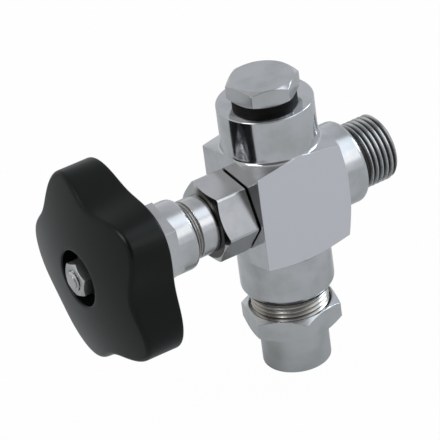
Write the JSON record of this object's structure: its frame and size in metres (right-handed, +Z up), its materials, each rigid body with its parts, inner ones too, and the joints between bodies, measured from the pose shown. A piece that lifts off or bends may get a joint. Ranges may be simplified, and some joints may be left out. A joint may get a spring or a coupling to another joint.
{
  "type": "gauge glass valve",
  "caption": "Screw-down valve with a lobed handwheel, a threaded process end, a top plug and a gland nut that seals round an upright gauge glass.",
  "frame": {"origin": "centre of the round shoulder face behind the process thread", "axes": "+X along the process thread, away from the valve; +Z up, towards the plug; the flat front of the block faces -Y"},
  "size_m": [0.1116, 0.0609, 0.0985],
  "materials": {
    "block_steel": "satin",
    "bright_steel": "fine turned",
    "trim_steel": "machined",
    "wheel_plastic": "satin moulded",
    "insert_brass": "machined",
    "seal_plastic": "smooth",
    "gasket_dark": "smooth"
  },
  "bodies": {
    "valve": {"body": "block_steel", "bonnet": "bright_steel", "bonnet_gasket": "gasket_dark", "packing_washer": "trim_steel", "packing_ring_1": "seal_plastic", "packing_ring_2": "seal_plastic", "packing_ring_3": "seal_plastic", "packing_gland": "trim_steel", "packing_nut": "bright_steel", "seal_base_ring": "trim_steel", "glass_seal_1": "seal_plastic", "glass_seal_2": "seal_plastic"},
    "closing_tip": {"swivel_tip": "trim_steel", "seat_disc": "seal_plastic", "tip_lock_pins": "trim_steel"},
    "stem_and_wheel": {"stem": "trim_steel", "handwheel": "wheel_plastic", "wheel_insert": "insert_brass", "wheel_washer": "trim_steel", "wheel_nut": "bright_steel"},
    "follower": {"gland_follower": "trim_steel"},
    "gland": {"gland_nut": "block_steel"},
    "gasket": {"plug_gasket": "gasket_dark"},
    "plug": {"top_plug": "bright_steel"}
  },
  "joints": [
    {"name": "tip_travel", "type": "slide", "parent": "valve", "child": "closing_tip", "axis": [-1, 0, 0], "range_m": [0, 0.0045]},
    {"name": "wheel_turn", "type": "hinge", "parent": "closing_tip", "child": "stem_and_wheel", "pos_m": [-0.05, 0, 0], "axis": [-1, 0, 0], "range_deg": [0, 1080]},
    {"name": "follower_travel", "type": "slide", "parent": "valve", "child": "follower", "axis": [0, 0, -1], "range_m": [0, 0.0045]},
    {"name": "gland_turn", "type": "hinge", "parent": "follower", "child": "gland", "pos_m": [-0.0257, 0, -0.045], "axis": [0, 0, -1], "range_deg": [0, 1080]},
    {"name": "gasket_travel", "type": "slide", "parent": "valve", "child": "gasket", "axis": [0, 0, 1], "range_m": [0, 0.00401]},
    {"name": "plug_turn", "type": "hinge", "parent": "gasket", "child": "plug", "pos_m": [-0.0257, 0, 0.03], "axis": [0, 0, 1], "range_deg": [0, 1080]}
  ],
  "couplings": [
    {"joint": "wheel_turn", "follows": "tip_travel", "rad_per_m": 4188.8},
    {"joint": "gland_turn", "follows": "follower_travel", "rad_per_m": 4188.8},
    {"joint": "plug_turn", "follows": "gasket_travel", "rad_per_m": 4699.5}
  ]
}
